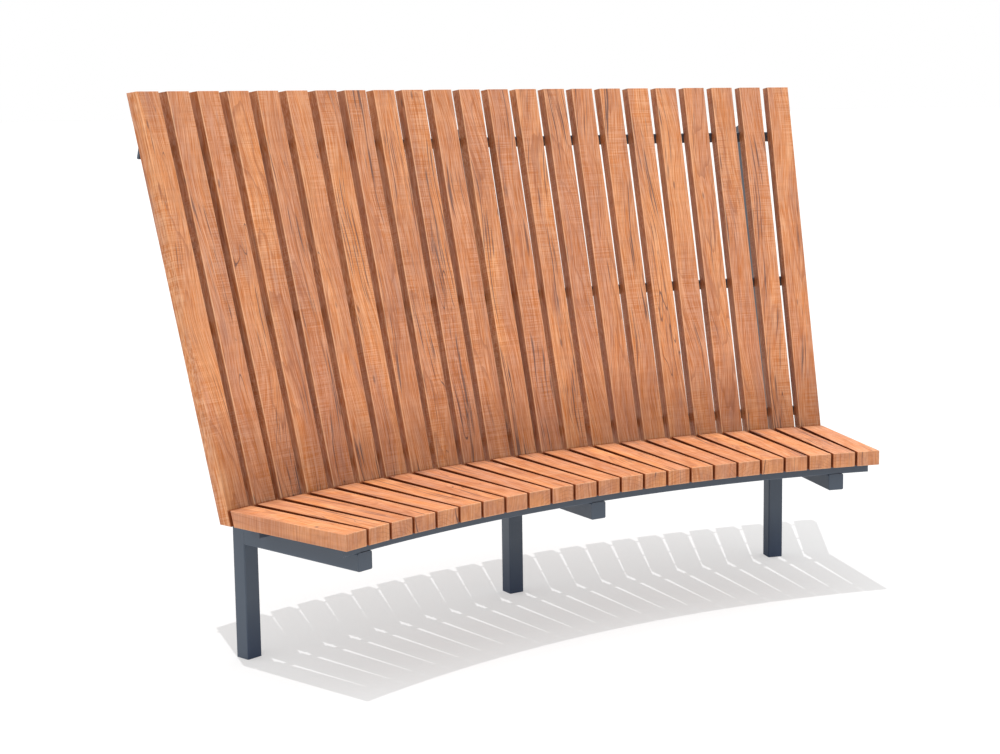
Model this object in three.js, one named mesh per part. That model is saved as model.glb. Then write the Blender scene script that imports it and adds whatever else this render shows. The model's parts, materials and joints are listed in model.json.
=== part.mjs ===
// Curved bench with a high leaning backrest. Millimetres, +Z up, the sitter faces -Y.
import * as THREE from 'three';

// Whole bench
const SEAT_HEIGHT = 460;
const BACK_RISE = 1118.6;
const SEAT_FRONT_RADIUS = 2874.3;
const SEAT_DEPTH = 442.4;
const BOARD_COUNT = 23;
const BOARD_ANGLE = THREE.MathUtils.degToRad(1.6193);
const LEAN_ANGLE = THREE.MathUtils.degToRad(15.67);
const TOP_CUT_ANGLE = THREE.MathUtils.degToRad(6);

// Timber boards
const BOARD_WIDTH = 75;
const BOARD_THICKNESS = 45;
const BOARD_ARRIS = 2.5;
const SEAT_TO_BACK_GAP = 11;

// Square tubes of the legs, arms and back posts
const TUBE_SIZE = 50;
const TUBE_WALL = 3;
const TUBE_CORNER = 4.5;
const FOOT_PLATE = 5;
const FRAME_SETBACK = 56;
const KINK_ABOVE_SEAT = 33;
const POST_ABOVE_TOP_RAIL = 48;

// Rolled tubes under the seat
const SEAT_RAIL_SIZE = 33;
const SEAT_RAIL_WALL = 2.5;
const SEAT_RAIL_CORNER = 3.5;
const SEAT_RAIL_VENT = 8;
const SEAT_RAIL_VENT_CORNER = 3.5;
const REAR_RAIL_INSET = 62;

// Flat bars behind the back boards, placed along the slope of the backrest
const BACK_RAIL_HEIGHT = 32;
const BACK_RAIL_THICKNESS = 8;
const BACK_RAIL_ROUND = 1;
const LOW_RAIL_ABOVE_KINK = 24;
const TOP_RAIL_BELOW_TOP = 160;
const MIDDLE_RAIL_SHARE = 0.468;

// Ends of the rails, counted in boards from the middle board
const SEAT_RAIL_LEFT_SHARE = 10.92;
const SEAT_RAIL_RIGHT_SHARE = 11.31;
const TOP_RAIL_END_SHARE = 11.35;
const LOWER_RAIL_END_SHARE = 11.1;

// Clearances between pieces that touch
const WELD_GAP = 0.3;
const REST_GAP = 0.3;
const BACK_RAIL_GAP = 0.5;

// Fineness of the curves
const CORNER_STEPS = 3;
const STEPS_PER_BOARD = 2;

// Derived sizes
const MIDDLE_BOARD = (BOARD_COUNT - 1) / 2;
const SUPPORT_OFFSETS = [-(MIDDLE_BOARD - 1), 0, MIDDLE_BOARD - 1];
const SEAT_UNDERSIDE = SEAT_HEIGHT - BOARD_THICKNESS;
const KINK_HEIGHT = SEAT_HEIGHT + KINK_ABOVE_SEAT;
const SEAT_BACK_RADIUS = SEAT_FRONT_RADIUS + SEAT_DEPTH;
const BACK_PLANE_RADIUS = SEAT_BACK_RADIUS + SEAT_TO_BACK_GAP;
const SIN = Math.sin(LEAN_ANGLE);
const COS = Math.cos(LEAN_ANGLE);
const TAN = Math.tan(LEAN_ANGLE);
const RAIL_TOP = SEAT_UNDERSIDE - REST_GAP;
const ARM_TOP = RAIL_TOP - SEAT_RAIL_SIZE - REST_GAP;
const BACK_RAIL_DEPTH = BOARD_THICKNESS + BACK_RAIL_GAP;
const POST_DEPTH = BACK_RAIL_DEPTH + BACK_RAIL_THICKNESS + WELD_GAP;
const POST_AXIS_DEPTH = POST_DEPTH + TUBE_SIZE / 2;
const LEG_RADIUS = BACK_PLANE_RADIUS + POST_AXIS_DEPTH / COS + KINK_ABOVE_SEAT * TAN;

// Places up the slope of the backrest, counted from the seat's top
const LOW_RAIL_UP = KINK_ABOVE_SEAT / COS + LOW_RAIL_ABOVE_KINK;
const TOP_RAIL_UP = BACK_RISE / COS - TOP_RAIL_BELOW_TOP;
const MIDDLE_RAIL_UP = LOW_RAIL_UP + (TOP_RAIL_UP - LOW_RAIL_UP) * MIDDLE_RAIL_SHARE;
const POST_TOP_UP = TOP_RAIL_UP + POST_ABOVE_TOP_RAIL;

// Rounded rectangle, anticlockwise, centred on the origin
function roundedSection(width, height, corner) {
  const points = [];
  const corners = [[1, 1], [-1, 1], [-1, -1], [1, -1]];
  corners.forEach(([sx, sy], quarter) => {
    const cx = sx * (width / 2 - corner);
    const cy = sy * (height / 2 - corner);
    for (let step = 0; step <= CORNER_STEPS; step += 1) {
      const angle = (quarter + step / CORNER_STEPS) * Math.PI / 2;
      points.push([cx + corner * Math.cos(angle), cy + corner * Math.sin(angle)]);
    }
  });
  return points;
}

// Surface pieces between and across rings of points
function skin(triangles, rings, inward) {
  for (let i = 0; i + 1 < rings.length; i += 1) {
    const a = rings[i];
    const b = rings[i + 1];
    for (let j = 0; j < a.length; j += 1) {
      const k = (j + 1) % a.length;
      if (inward) triangles.push([a[j], b[k], a[k]], [a[j], b[j], b[k]]);
      else triangles.push([a[j], a[k], b[k]], [a[j], b[k], b[j]]);
    }
  }
}

function cap(triangles, ring, forward) {
  for (let j = 1; j + 1 < ring.length; j += 1) {
    if (forward) triangles.push([ring[0], ring[j], ring[j + 1]]);
    else triangles.push([ring[0], ring[j + 1], ring[j]]);
  }
}

function rim(triangles, outer, inner, forward) {
  for (let j = 0; j < outer.length; j += 1) {
    const k = (j + 1) % outer.length;
    if (forward) triangles.push([outer[j], outer[k], inner[k]], [outer[j], inner[k], inner[j]]);
    else triangles.push([outer[j], inner[k], outer[k]], [outer[j], inner[j], inner[k]]);
  }
}

function signedVolume(triangles) {
  return triangles.reduce((sum, [a, b, c]) => sum + a.dot(b.clone().cross(c)), 0);
}

function toGeometry(triangles) {
  const outward = signedVolume(triangles) > 0;
  const positions = [];
  triangles.forEach(([a, b, c]) => {
    (outward ? [a, b, c] : [a, c, b]).forEach((p) => positions.push(p.x, p.y, p.z));
  });
  const geometry = new THREE.BufferGeometry();
  geometry.setAttribute('position', new THREE.Float32BufferAttribute(positions, 3));
  geometry.computeVertexNormals();
  return geometry;
}

// Bars and tubes made from rings of points
function solidBar(rings) {
  const triangles = [];
  skin(triangles, rings, false);
  cap(triangles, rings[0], false);
  cap(triangles, rings[rings.length - 1], true);
  return toGeometry(triangles);
}

function closedTube(outer, inner, closedAtStart) {
  const triangles = [];
  skin(triangles, outer, false);
  skin(triangles, inner, true);
  if (closedAtStart) {
    cap(triangles, outer[0], false);
    cap(triangles, inner[0], true);
    rim(triangles, outer[1], inner[1], true);
  } else {
    rim(triangles, outer[0], inner[0], false);
    cap(triangles, inner[1], false);
    cap(triangles, outer[1], true);
  }
  return toGeometry(triangles);
}

// Tube with both ends closed and a hole to its inside through the far end
function ventedTube(outer, vent, inner) {
  return solidBar([...outer, ...vent, ...inner.reverse()]);
}

// Places in the upright plane of one board: across, outward radius, height
function leaning(across, up, depth) {
  return new THREE.Vector3(
    across,
    BACK_PLANE_RADIUS + up * SIN + depth * COS,
    SEAT_HEIGHT + up * COS - depth * SIN,
  );
}

function levelBar(section, zCentre, startRadius, endRadius) {
  return [startRadius, endRadius].map((radius) => section.map(([x, y]) => {
    const z = zCentre + y;
    return new THREE.Vector3(x, typeof radius === 'function' ? radius(z) : radius, z);
  }));
}

function leaningBar(section, axisDepth, startUp, endUp) {
  return [startUp, endUp].map((up) => section.map(([x, y]) => {
    const depth = axisDepth - y;
    return leaning(x, up(depth), depth);
  }));
}

const boardSection = roundedSection(BOARD_WIDTH, BOARD_THICKNESS, BOARD_ARRIS);
const tubeSection = roundedSection(TUBE_SIZE, TUBE_SIZE, TUBE_CORNER);
const TUBE_BORE = TUBE_SIZE - 2 * TUBE_WALL;
const boreSection = roundedSection(TUBE_BORE, TUBE_BORE, TUBE_CORNER - TUBE_WALL);

// Seat board: square front end, rear end parallel to the backrest
function seatBoard() {
  const rearEnd = (z) => SEAT_BACK_RADIUS - (SEAT_HEIGHT - z) * TAN;
  const zCentre = SEAT_HEIGHT - BOARD_THICKNESS / 2;
  return solidBar(levelBar(boardSection, zCentre, SEAT_FRONT_RADIUS, rearEnd));
}

// Back board: level foot, top falling slightly to the rear
function backBoard() {
  const foot = (depth) => (SEAT_UNDERSIDE - SEAT_HEIGHT + depth * SIN) / COS;
  const fall = Math.tan(TOP_CUT_ANGLE);
  const top = (depth) => (
    (BACK_RISE + depth * SIN - (depth * COS - BACK_RISE * TAN) * fall) / (COS + SIN * fall));
  return solidBar(leaningBar(boardSection, BOARD_THICKNESS / 2, foot, top));
}

// Leg: upright tube with a closed foot and a mitred top
function leg() {
  const mitre = Math.tan(LEAN_ANGLE / 2);
  const top = (y) => KINK_HEIGHT - WELD_GAP / 2 - y * mitre;
  const ring = (section, z) => section.map(([x, y]) => (
    new THREE.Vector3(x, LEG_RADIUS + y, typeof z === 'function' ? z(y) : z)));
  return closedTube(
    [ring(tubeSection, 0), ring(tubeSection, top)],
    [ring(boreSection, FOOT_PLATE), ring(boreSection, top)],
    true,
  );
}

// Back post: mitred foot, square closed top
function backPost() {
  const mitre = Math.tan(LEAN_ANGLE / 2);
  const kinkUp = (KINK_ABOVE_SEAT + POST_AXIS_DEPTH * SIN) / COS;
  const foot = (depth) => kinkUp + WELD_GAP / 2 + (depth - POST_AXIS_DEPTH) * mitre;
  return closedTube(
    leaningBar(tubeSection, POST_AXIS_DEPTH, foot, () => POST_TOP_UP),
    leaningBar(boreSection, POST_AXIS_DEPTH, foot, () => POST_TOP_UP - TUBE_WALL),
    false,
  );
}

// Seat arm: level tube with a closed front end, open against the leg
function seatArm() {
  const front = SEAT_FRONT_RADIUS + FRAME_SETBACK;
  const rear = LEG_RADIUS - TUBE_SIZE / 2 - WELD_GAP;
  const zCentre = ARM_TOP - TUBE_SIZE / 2;
  return closedTube(
    levelBar(tubeSection, zCentre, front, rear),
    levelBar(boreSection, zCentre, front + TUBE_WALL, rear),
    true,
  );
}

// A section stood at one place of the arc, counted in boards from the middle
function arcRing(places, share) {
  const angle = share * BOARD_ANGLE;
  return places.map(([radius, z]) => (
    new THREE.Vector3(radius * Math.sin(angle), radius * Math.cos(angle), z)));
}

function arcRings(places, leftShare, rightShare) {
  const steps = Math.ceil((leftShare + rightShare) * STEPS_PER_BOARD);
  const rings = [];
  for (let step = 0; step <= steps; step += 1) {
    rings.push(arcRing(places, -leftShare + (leftShare + rightShare) * step / steps));
  }
  return rings;
}

// Seat rail: rolled tube with closed ends, vented at the right
function seatRail(frontRadius) {
  const radius = frontRadius + SEAT_RAIL_SIZE / 2;
  const zCentre = RAIL_TOP - SEAT_RAIL_SIZE / 2;
  const place = ([x, y]) => [radius + x, zCentre + y];
  const section = (size, corner) => roundedSection(size, size, corner).map(place);
  const plateShare = SEAT_RAIL_WALL / (radius * BOARD_ANGLE);
  const boreLeft = SEAT_RAIL_LEFT_SHARE - plateShare;
  const boreRight = SEAT_RAIL_RIGHT_SHARE - plateShare;
  const bore = section(SEAT_RAIL_SIZE - 2 * SEAT_RAIL_WALL, SEAT_RAIL_CORNER - SEAT_RAIL_WALL);
  const vent = section(SEAT_RAIL_VENT, SEAT_RAIL_VENT_CORNER);
  return ventedTube(
    arcRings(section(SEAT_RAIL_SIZE, SEAT_RAIL_CORNER), SEAT_RAIL_LEFT_SHARE, SEAT_RAIL_RIGHT_SHARE),
    [arcRing(vent, SEAT_RAIL_RIGHT_SHARE), arcRing(vent, boreRight)],
    arcRings(bore, boreLeft, boreRight),
  );
}

// Back rail: flat bar rolled to a cone, leaning with the boards
function backRail(centreUp, endShare) {
  const axisDepth = BACK_RAIL_DEPTH + BACK_RAIL_THICKNESS / 2;
  const section = roundedSection(BACK_RAIL_THICKNESS, BACK_RAIL_HEIGHT, BACK_RAIL_ROUND);
  const places = section.map(([x, y]) => {
    const point = leaning(0, centreUp + y, axisDepth + x);
    return [point.y, point.z];
  });
  return solidBar(arcRings(places, endShare, endShare));
}

const wood = new THREE.MeshStandardMaterial({ color: 0xc98a5d, roughness: 0.6, metalness: 0 });
const steel = new THREE.MeshStandardMaterial({ color: 0x434b55, roughness: 0.5, metalness: 0.2 });

const bench = new THREE.Group();
bench.name = 'curved_bench';

function add(name, geometry, material, boardsFromMiddle) {
  geometry.rotateZ(-boardsFromMiddle * BOARD_ANGLE);
  const mesh = new THREE.Mesh(geometry, material);
  mesh.name = name;
  bench.add(mesh);
}

for (let i = 0; i < BOARD_COUNT; i += 1) {
  const label = String(i + 1).padStart(2, '0');
  add(`seat_board_${label}`, seatBoard(), wood, i - MIDDLE_BOARD);
  add(`back_board_${label}`, backBoard(), wood, i - MIDDLE_BOARD);
}

['left', 'middle', 'right'].forEach((side, i) => {
  add(`leg_${side}`, leg(), steel, SUPPORT_OFFSETS[i]);
  add(`seat_arm_${side}`, seatArm(), steel, SUPPORT_OFFSETS[i]);
  add(`back_post_${side}`, backPost(), steel, SUPPORT_OFFSETS[i]);
});

add('seat_rail_front', seatRail(SEAT_FRONT_RADIUS + FRAME_SETBACK), steel, 0);
add('seat_rail_rear', seatRail(SEAT_BACK_RADIUS - REAR_RAIL_INSET), steel, 0);
add('back_rail_low', backRail(LOW_RAIL_UP, LOWER_RAIL_END_SHARE), steel, 0);
add('back_rail_middle', backRail(MIDDLE_RAIL_UP, LOWER_RAIL_END_SHARE), steel, 0);
add('back_rail_top', backRail(TOP_RAIL_UP, TOP_RAIL_END_SHARE), steel, 0);

// The middle of the bench's outline is put on the Z axis
const box = new THREE.Box3().setFromObject(bench);
const middle = box.getCenter(new THREE.Vector3());
bench.children.forEach((mesh) => mesh.geometry.translate(-middle.x, -middle.y, 0));

export default bench;
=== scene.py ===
# %% [markdown]
# A curved timber bench with a high, leaning backrest, dressed for a studio picture.
# The imported solids give every size and place. The timber boards, the tubes and the
# rolled rails are made again with finer edges, and each finish is a material of nodes.
# First the solids are loaded as a fixed frame.

# %% Load the frame
import json
import math
import random

import bpy
from mathutils import Matrix, Vector

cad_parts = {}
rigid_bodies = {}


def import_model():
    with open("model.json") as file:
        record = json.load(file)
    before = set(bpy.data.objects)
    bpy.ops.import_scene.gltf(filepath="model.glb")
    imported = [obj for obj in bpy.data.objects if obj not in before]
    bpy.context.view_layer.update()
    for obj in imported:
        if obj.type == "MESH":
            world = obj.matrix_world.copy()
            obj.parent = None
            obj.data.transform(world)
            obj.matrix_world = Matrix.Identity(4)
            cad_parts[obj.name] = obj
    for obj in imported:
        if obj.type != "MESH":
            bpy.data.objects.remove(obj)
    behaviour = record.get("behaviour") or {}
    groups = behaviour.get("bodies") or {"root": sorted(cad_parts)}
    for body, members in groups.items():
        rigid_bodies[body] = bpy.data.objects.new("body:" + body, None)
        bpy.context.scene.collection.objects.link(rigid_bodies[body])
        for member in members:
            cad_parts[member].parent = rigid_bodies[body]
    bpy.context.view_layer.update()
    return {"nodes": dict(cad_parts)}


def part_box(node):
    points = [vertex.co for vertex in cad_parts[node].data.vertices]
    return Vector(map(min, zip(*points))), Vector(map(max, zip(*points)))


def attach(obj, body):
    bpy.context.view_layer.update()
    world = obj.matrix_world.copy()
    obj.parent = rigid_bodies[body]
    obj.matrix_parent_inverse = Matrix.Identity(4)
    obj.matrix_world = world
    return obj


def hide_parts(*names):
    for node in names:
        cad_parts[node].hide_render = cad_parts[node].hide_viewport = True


for old in list(bpy.data.objects):
    bpy.data.objects.remove(old)
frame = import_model()
print("frame:", len(frame["nodes"]), "solids")

# %% [markdown]
# The bench is laid out on a circle. Every board points at one centre far in front of
# the seat, so a board is described once, in its own straight space, and then turned
# about that centre. These are the sizes that the solids were made with, in metres. The
# ends of the rails are counted in boards from the middle one. Only the centre is read
# from the frame: it lies one front radius before the front end of the middle board.

# %% Sizes of the bench
SEAT_HEIGHT = 0.460
BACK_RISE = 1.1186
SEAT_FRONT_RADIUS = 2.8743
SEAT_DEPTH = 0.4424
BOARD_COUNT = 23
BOARD_ANGLE = math.radians(1.6193)
LEAN_ANGLE = math.radians(15.67)
TOP_CUT_ANGLE = math.radians(6)
BOARD_WIDTH, BOARD_THICKNESS = 0.075, 0.045
SEAT_TO_BACK_GAP = 0.011
TUBE_SIZE = 0.050
FRAME_SETBACK = 0.056
KINK_ABOVE_SEAT = 0.033
POST_ABOVE_TOP_RAIL = 0.048
SEAT_RAIL_SIZE, SEAT_RAIL_WALL = 0.033, 0.0025
REAR_RAIL_INSET = 0.062
SEAT_RAIL_VENT = 0.008
BACK_RAIL_HEIGHT, BACK_RAIL_THICKNESS = 0.032, 0.008
LOW_RAIL_ABOVE_KINK, TOP_RAIL_BELOW_TOP, MIDDLE_RAIL_SHARE = 0.024, 0.160, 0.468
BACK_RAIL_ENDS = {"low": 11.1, "middle": 11.1, "top": 11.35}
SEAT_RAIL_ENDS = (10.92, 11.31)
WELD_GAP, REST_GAP, BACK_RAIL_GAP = 0.0003, 0.0003, 0.0005

MIDDLE_BOARD = (BOARD_COUNT - 1) // 2
SIDES = {"left": 1 - MIDDLE_BOARD, "middle": 0, "right": MIDDLE_BOARD - 1}
SIN, COS, TAN = math.sin(LEAN_ANGLE), math.cos(LEAN_ANGLE), math.tan(LEAN_ANGLE)
SEAT_BACK_RADIUS = SEAT_FRONT_RADIUS + SEAT_DEPTH
BACK_PLANE_RADIUS = SEAT_BACK_RADIUS + SEAT_TO_BACK_GAP
SEAT_UNDERSIDE = SEAT_HEIGHT - BOARD_THICKNESS
RAIL_TOP = SEAT_UNDERSIDE - REST_GAP
ARM_TOP = RAIL_TOP - SEAT_RAIL_SIZE - REST_GAP
BACK_RAIL_DEPTH = BOARD_THICKNESS + BACK_RAIL_GAP
POST_DEPTH = BACK_RAIL_DEPTH + BACK_RAIL_THICKNESS + WELD_GAP
POST_AXIS_DEPTH = POST_DEPTH + TUBE_SIZE / 2
LEG_RADIUS = BACK_PLANE_RADIUS + POST_AXIS_DEPTH / COS + KINK_ABOVE_SEAT * TAN
KINK_HEIGHT = SEAT_HEIGHT + KINK_ABOVE_SEAT
LOW_RAIL_UP = KINK_ABOVE_SEAT / COS + LOW_RAIL_ABOVE_KINK
TOP_RAIL_UP = BACK_RISE / COS - TOP_RAIL_BELOW_TOP
BACK_RAIL_UPS = {"low": LOW_RAIL_UP, "top": TOP_RAIL_UP,
                 "middle": LOW_RAIL_UP + (TOP_RAIL_UP - LOW_RAIL_UP) * MIDDLE_RAIL_SHARE}
FRAME_FRONT_RADIUS = SEAT_FRONT_RADIUS + FRAME_SETBACK
SEAT_RAIL_RADII = {"front": FRAME_FRONT_RADIUS + SEAT_RAIL_SIZE / 2,
                   "rear": SEAT_BACK_RADIUS - REAR_RAIL_INSET + SEAT_RAIL_SIZE / 2}
CENTRE_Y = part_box("seat_board_12")[0].y - SEAT_FRONT_RADIUS
print(f"circle centre at y {CENTRE_Y:.4f} m, legs at radius {LEG_RADIUS:.4f} m")

# %% [markdown]
# Node trees are built by script here, so a few helpers keep them readable. The first
# puts a node in a tree, sets it up and joins its sockets in one call. Short forms of it
# do sums, take a vector apart, put one together or fit a value from one range to
# another. The last one makes an empty tree with named inputs and outputs, so that
# every size of a piece shows up by its own name.

# %% Helpers for node trees
def put(tree, kind, sockets=None, **settings):
    made = tree.nodes.new(kind)
    for name, value in settings.items():
        setattr(made, name, value)
    for key, value in (sockets or {}).items():
        if isinstance(value, bpy.types.NodeSocket):
            tree.links.new(value, made.inputs[key])
        else:
            made.inputs[key].default_value = value
    return made


def math_node(tree, operation, a, b=0.0, c=0.0):
    return put(tree, "ShaderNodeMath", {0: a, 1: b, 2: c}, operation=operation).outputs[0]


def plus(tree, a, b):
    return math_node(tree, "ADD", a, b)


def minus(tree, a, b):
    return math_node(tree, "SUBTRACT", a, b)


def times(tree, a, b):
    return math_node(tree, "MULTIPLY", a, b)


def times_plus(tree, a, b, c):
    return math_node(tree, "MULTIPLY_ADD", a, b, c)


def distance(tree, x, y):
    return math_node(tree, "SQRT", plus(tree, times(tree, x, x), times(tree, y, y)))


def vector_node(tree, operation, a, b, c=(0, 0, 0)):
    return put(tree, "ShaderNodeVectorMath", {0: a, 1: b, 2: c}, operation=operation).outputs[0]


def separate(tree, vector):
    return put(tree, "ShaderNodeSeparateXYZ", {0: vector}).outputs


def combine(tree, **axes):
    return put(tree, "ShaderNodeCombineXYZ", axes).outputs[0]


def fit(tree, value, low, high, to_low=0.0, to_high=1.0, steps="LINEAR"):
    return put(tree, "ShaderNodeMapRange",
               {"Value": value, "From Min": low, "From Max": high, "To Min": to_low,
                "To Max": to_high}, interpolation_type=steps).outputs[0]


def new_tree(name, inputs, outputs, kind="Geometry"):
    tree = bpy.data.node_groups.new(name, f"{kind}NodeTree")
    for side, sockets in (("INPUT", inputs), ("OUTPUT", outputs)):
        for socket, labels in sockets.items():
            for label in labels:
                tree.interface.new_socket(label, in_out=side, socket_type=f"NodeSocket{socket}")
    return tree, tree.nodes.new("NodeGroupInput").outputs, tree.nodes.new("NodeGroupOutput").inputs


print("helpers ready")

# %% [markdown]
# One tree makes every straight bar: the boards, the legs, the arms and the posts. They
# could each be a scaled box, but a rounded rectangle swept along a line keeps the same
# rounding on every size. The two ends are sheared, because the boards are cut at the
# angle of the backrest and the tubes are mitred. While the bar still lies in its own
# straight space, that place is stored with it as an attribute, so that timber grain can
# run along each board whichever way the board points.

# %% Geometry Nodes tree for a straight bar
BAR_INPUTS = {
    "Float": ["Start", "End", "Start Slope", "End Slope", "Width", "Thickness", "Corner",
              "Lean", "Radius", "Height", "Turn", "Centre Y"],
    "Int": ["Corner Steps"], "Vector": ["Lot"], "Material": ["Material"],
}
SHAPE = {"Geometry": ["Geometry"]}


def rounded_outline(tree, width, height, corner, steps):
    outline = put(tree, "GeometryNodeCurvePrimitiveQuadrilateral",
                  {"Width": width, "Height": height}).outputs["Curve"]
    fillet = put(tree, "GeometryNodeFilletCurve",
                 {"Curve": outline, "Radius": corner, "Count": steps}, mode="POLY")
    return fillet.outputs["Curve"]


def level_curve(tree, curve):
    return put(tree, "GeometryNodeSetCurveNormal", {"Curve": curve}, mode="Z_UP").outputs[0]


def noted(tree, mesh, name, value):
    return put(tree, "GeometryNodeStoreNamedAttribute",
               {"Geometry": mesh, "Name": name, "Value": value},
               data_type="FLOAT_VECTOR", domain="POINT").outputs[0]


def moved(tree, mesh, turn, place):
    return put(tree, "GeometryNodeTransform",
               {"Geometry": mesh, "Rotation": turn, "Translation": place}).outputs[0]


def placed(tree, mesh, lean, radius, height, turn, centre_y):
    leaned = moved(tree, mesh, combine(tree, X=lean), combine(tree, Y=radius, Z=height))
    return moved(tree, leaned, combine(tree, Z=turn), combine(tree, Y=centre_y))


def finished(tree, mesh, material, output):
    real = put(tree, "GeometryNodeRealizeInstances", {"Geometry": mesh}).outputs[0]
    done = put(tree, "GeometryNodeSetMaterial", {"Geometry": real, "Material": material})
    tree.links.new(done.outputs[0], output[0])


bar_tree, given, output = new_tree("straight_bar", BAR_INPUTS, SHAPE)
t = bar_tree
start = combine(t, Y=given["Start"])
end = combine(t, Y=given["End"])
axis = put(t, "GeometryNodeCurvePrimitiveLine", {"Start": start, "End": end}).outputs[0]
outline = rounded_outline(t, given["Width"], given["Thickness"], given["Corner"],
                          given["Corner Steps"])
swept = put(t, "GeometryNodeCurveToMesh", {"Curve": level_curve(t, axis),
                                           "Profile Curve": outline,
                                           "Fill Caps": True}).outputs[0]
here = put(t, "GeometryNodeInputPosition").outputs[0]
parts = separate(t, here)
share = fit(t, parts["Y"], given["Start"], given["End"])
slope = fit(t, share, 0.0, 1.0, given["Start Slope"], given["End Slope"])
shift = combine(t, Y=times(t, slope, parts["Z"]))
cut = put(t, "GeometryNodeSetPosition", {"Geometry": swept, "Offset": shift}).outputs[0]
marked = noted(t, noted(t, cut, "own_place", here), "own_lot", given["Lot"])
finished(t, placed(t, marked, given["Lean"], given["Radius"], given["Height"],
                   given["Turn"], given["Centre Y"]), given["Material"], output)
print("straight bar tree:", len(t.nodes), "nodes")

# %% [markdown]
# The modifier that carries a tree only lives long enough to make the mesh. Its inputs
# are set by each socket's identifier before the object is evaluated, the result is
# copied into a plain mesh, and the modifier goes. Solidify can give a hollow piece its
# wall, and a bevel can break the sharp edges of the sawn ends. The faces are shaded
# smooth with the flat faces weighted most, so a planed board stays flat right up to its
# rounded edge. Last, a piece rides the one body of the bench and replaces its solid.

# %% Turn a tree into a finished piece
SHARP_ANGLE = math.radians(50)
EDGE_SEGMENTS = 2
INWARDS = -1.0


def add_object(name, data):
    made = bpy.data.objects.new(name, data)
    bpy.context.scene.collection.objects.link(made)
    return made


def grow(name, tree, values, edge=0.0, wall=0.0):
    piece = add_object(name, bpy.data.meshes.new(name))
    maker = piece.modifiers.new("maker", "NODES")
    maker.node_group = tree
    sockets = {s.name: s.identifier for s in tree.interface.items_tree if s.in_out == "INPUT"}
    for label, value in values.items():
        maker[sockets[label]] = value
    if wall:
        shell = piece.modifiers.new("wall", "SOLIDIFY")
        shell.thickness = wall
        shell.offset = INWARDS
        shell.use_even_offset = True
    if edge:
        bevel = piece.modifiers.new("edge", "BEVEL")
        bevel.width = edge
        bevel.segments = EDGE_SEGMENTS
        bevel.limit_method = "ANGLE"
        bevel.angle_limit = SHARP_ANGLE
    seen = bpy.context.evaluated_depsgraph_get()
    mesh = bpy.data.meshes.new_from_object(piece.evaluated_get(seen),
                                           preserve_all_data_layers=True, depsgraph=seen)
    piece.modifiers.clear()
    piece.data = mesh
    mesh.name = name
    return piece


def smooth(piece):
    piece.data.shade_smooth()
    piece.data.set_sharp_from_angle(angle=SHARP_ANGLE)
    weigh = piece.modifiers.new("weigh", "WEIGHTED_NORMAL")
    weigh.keep_sharp = True
    return piece


def keep(piece, slot, *nodes):
    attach(piece, "root")
    if nodes:
        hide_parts(*nodes)
    return piece


print("pieces can be grown")

# %% [markdown]
# Timber grain is one solid pattern that the saw cuts through, so it is worked out in
# the board's own place. A picture of timber on each face would not meet at the edges.
# The group gets the board's lot, three numbers that shift and slant the pattern, and
# the whole pattern sways slowly from side to side. All the noises are stretched: a row
# of the first table says how often one repeats in a metre across, along and through
# the board, and then its detail and its roughness. A row of the second table says
# where a mask starts, where it is full and, in some rows, what it never falls below.

# %% Grain group
NOISES = {
    "sway": (2.4, 1.8, 2.4, 1, 0.5),
    "tone": (13, 1.8, 13, 3, 0.55),
    "fibre": (380, 8, 140, 2, 0.6),
    "thread": (620, 16, 260, 1, 0.55),
    "curl": (11, 3.2, 11, 1, 0.55),
    "curl line": (9, 330, 9, 1, 0.55),
    "saw mark": (300, 300, 9, 2, 0.55),
    "band": (110, 2.6, 60, 3, 0.6),
    "wide band": (24, 1.6, 24, 3, 0.55),
    "cross band": (10, 60, 10, 2, 0.55),
    "patch": (16, 9, 16, 2, 0.55),
    "smudge": (30, 4.5, 30, 4, 0.6),
    "wander": (9, 2.2, 9, 3, 0.55),
    "ring wobble": (30, 3, 30, 3, 0.55),
    "ring patch": (8, 1.7, 8, 1, 0.55),
    "streak": (185, 4.2, 90, 2, 0.55),
    "streak patch": (17, 2.2, 17, 1, 0.55),
    "split": (24, 2.4, 24, 1, 0.55),
    "split patch": (7, 2.6, 7, 1, 0.55),
    "shake": (20, 20, 1.5, 1, 0.55),
    "shake patch": (17, 17, 3, 1, 0.55),
    "edge wear and sheen": (60, 9, 60, 3, 0.55),
}
LIMITS = {
    "sawn face": (0.0010, 0.0003), "tone": (0.32, 0.68), "curl": (0.46, 0.62, 0.10),
    "smudge": (0.54, 0.76), "late wood": (0.72, 0.96), "ring end": (1.0, 0.97),
    "ring patch": (0.46, 0.62), "streak": (0.56, 0.645), "streak patch": (0.515, 0.59),
    "split": (0.0060, 0.0015), "split patch": (0.60, 0.66), "shake": (0.0090, 0.0030),
    "shake patch": (0.57, 0.60), "tick": (0.17, 0.06), "corner": (0.0036, 0.0012),
    "edge wear and sheen": (0.25, 0.6, 0.5),
}
LOT_SPREAD = (61.0, 37.0, 53.0)
SLANT, SWAY = 0.08, 0.10
GRAIN_OUTPUTS = ["Tone", "Fibre", "Figure", "Smudges", "Rings", "Streaks", "Checks", "Ticks",
                 "Edge", "Height"]
grain, given, output = new_tree(
    "timber_grain", {"Vector": ["Place", "Lot"],
                     "Float": ["Ring Spacing", "Half Width", "Half Thickness", "From Front End",
                               "Cross Cut"]}, {"Float": GRAIN_OUTPUTS}, kind="Shader")
t = grain


def centred(value, width):
    return times_plus(t, value, width, -width / 2)


def stretched(name):
    across, along, through, detail, roughness = NOISES[name]
    scaled = vector_node(t, "MULTIPLY", spot, (across, along, through))
    return put(t, "ShaderNodeTexNoise", {"Vector": scaled, "Scale": 1.0, "Detail": detail,
                                         "Roughness": roughness}).outputs[0]


def ramp(value, name):
    return fit(t, value, *LIMITS[name], steps="SMOOTHSTEP")


def masked(name):
    return ramp(stretched(name), name)


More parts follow.
